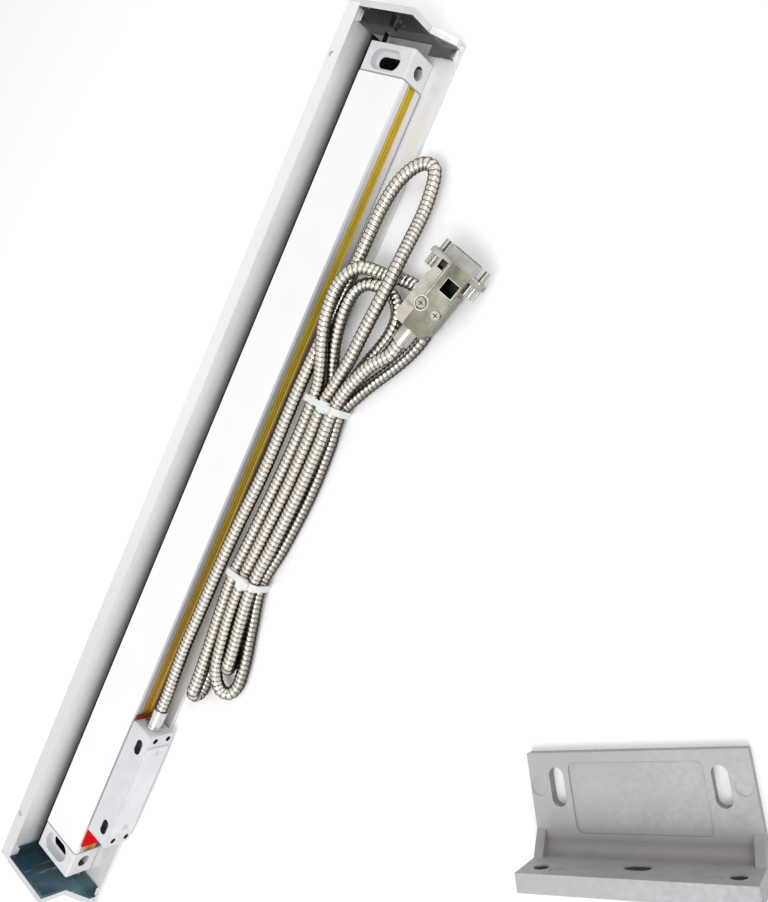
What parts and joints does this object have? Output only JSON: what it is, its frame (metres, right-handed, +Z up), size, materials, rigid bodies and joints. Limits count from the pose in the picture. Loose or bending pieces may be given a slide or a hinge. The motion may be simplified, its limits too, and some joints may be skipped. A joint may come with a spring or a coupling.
{
  "type": "linear glass scale",
  "caption": "Sealed linear glass scale in its dust cover, with reader head, armoured lead tied in a hank, nine-pin plug and loose bracket",
  "frame": {"origin": "centre of the dust cover's underside", "axes": "+X along the scale towards the end the lead runs to, +Y towards the cover's upright wall, +Z up from the surface it lies on"},
  "size_m": [0.5372, 0.3534, 0.034],
  "materials": {
    "cover_aluminium": "satin anodised extrusion",
    "cap_chrome": "bright plated die casting",
    "screw_steel": "plain machine screws",
    "body_white": "bright white painted extrusion",
    "block_grey": "light grey painted die casting",
    "lid_grey": "light grey painted plate",
    "black_rubber": "black nitrile rubber",
    "lip_amber": "amber polyurethane lip",
    "scale_glass": "clear glass with fine lines",
    "board_green": "green lacquered board",
    "bright_steel": "ground steel",
    "carriage_plastic": "black moulded plastic",
    "lamp_clear": "clear moulded lens",
    "spacer_red": "bright red plastic sheet",
    "conduit_steel": "stainless wound conduit",
    "tie_nylon": "natural white nylon",
    "hood_nickel": "nickel plated die casting",
    "insert_black": "black moulded insert",
    "pin_gold": "gold flashed contacts",
    "bracket_cast": "as-cast light grey alloy"
  },
  "bodies": {
    "scale": {"dust_cover": "cover_aluminium", "cover_cap_near": "cap_chrome", "cover_cap_far": "cap_chrome", "cap_screws": "screw_steel", "scale_housing": "body_white", "end_block_near": "block_grey", "end_block_far": "block_grey", "end_gaskets": "black_rubber", "block_screws": "screw_steel", "lip_seal_upper": "lip_amber", "lip_seal_lower": "lip_amber", "glass_scale": "scale_glass", "glass_seat_strip": "black_rubber", "mounting_bracket": "bracket_cast"},
    "reader": {"reader_housing": "block_grey", "reader_cover": "lid_grey", "reader_cover_screws": "screw_steel", "circuit_board": "board_green", "coupling_blade": "bright_steel", "carriage": "carriage_plastic", "light_source": "lamp_clear", "photo_sensor": "carriage_plastic", "index_grating": "scale_glass", "bearing_pins": "bright_steel", "cable_gland": "bright_steel", "gland_set_screw": "screw_steel", "transport_spacer": "spacer_red", "cord_lead": "conduit_steel", "cord_hank": "conduit_steel", "cord_tail": "conduit_steel", "tie_near": "tie_nylon", "tie_far": "tie_nylon", "crimp_ferrule": "hood_nickel", "hood_upper": "hood_nickel", "hood_lower": "hood_nickel", "hood_screws": "hood_nickel", "connector_shell": "hood_nickel", "connector_insert": "insert_black", "connector_pins": "pin_gold"},
    "bearing_face_1": {"bearing_face_1": "bright_steel"},
    "bearing_face_2": {"bearing_face_2": "bright_steel"},
    "bearing_face_3": {"bearing_face_3": "bright_steel"},
    "bearing_edge_1": {"bearing_edge_1": "bright_steel"},
    "bearing_edge_2": {"bearing_edge_2": "bright_steel"},
    "jackscrew_left": {"jackscrew_left": "hood_nickel"},
    "jackscrew_right": {"jackscrew_right": "hood_nickel"}
  },
  "joints": [
    {"name": "head_slide", "type": "slide", "parent": "scale", "child": "reader", "axis": [1, 0, 0], "range_m": [0, 0.35]},
    {"name": "bearing_face_1_spin", "type": "hinge", "parent": "reader", "child": "bearing_face_1", "pos_m": [-0.204, 0.00448, 0.0071], "axis": [0, 0, 1], "continuous": true},
    {"name": "bearing_face_2_spin", "type": "hinge", "parent": "reader", "child": "bearing_face_2", "pos_m": [-0.16, 0.00448, 0.0071], "axis": [0, 0, 1], "continuous": true},
    {"name": "bearing_face_3_spin", "type": "hinge", "parent": "reader", "child": "bearing_face_3", "pos_m": [-0.194, 0.00448, 0.0113], "axis": [0, 0, 1], "continuous": true},
    {"name": "bearing_edge_1_spin", "type": "hinge", "parent": "reader", "child": "bearing_edge_1", "pos_m": [-0.202, 0.00825, 0.01572], "axis": [0, 1, 0], "continuous": true},
    {"name": "bearing_edge_2_spin", "type": "hinge", "parent": "reader", "child": "bearing_edge_2", "pos_m": [-0.162, 0.00825, 0.01572], "axis": [0, 1, 0], "continuous": true},
    {"name": "jackscrew_left_turn", "type": "hinge", "parent": "reader", "child": "jackscrew_left", "pos_m": [0.16199, -0.07708, 0.01988], "axis": [0.9511, -0.309, 0], "continuous": true},
    {"name": "jackscrew_right_turn", "type": "hinge", "parent": "reader", "child": "jackscrew_right", "pos_m": [0.15473, -0.09942, 0.01132], "axis": [0.9511, -0.309, 0], "continuous": true}
  ],
  "couplings": [
    {"joint": "bearing_face_1_spin", "follows": "head_slide", "rad_per_m": 400},
    {"joint": "bearing_face_2_spin", "follows": "head_slide", "rad_per_m": 400},
    {"joint": "bearing_face_3_spin", "follows": "head_slide", "rad_per_m": 400},
    {"joint": "bearing_edge_1_spin", "follows": "head_slide", "rad_per_m": 400},
    {"joint": "bearing_edge_2_spin", "follows": "head_slide", "rad_per_m": 400}
  ]
}
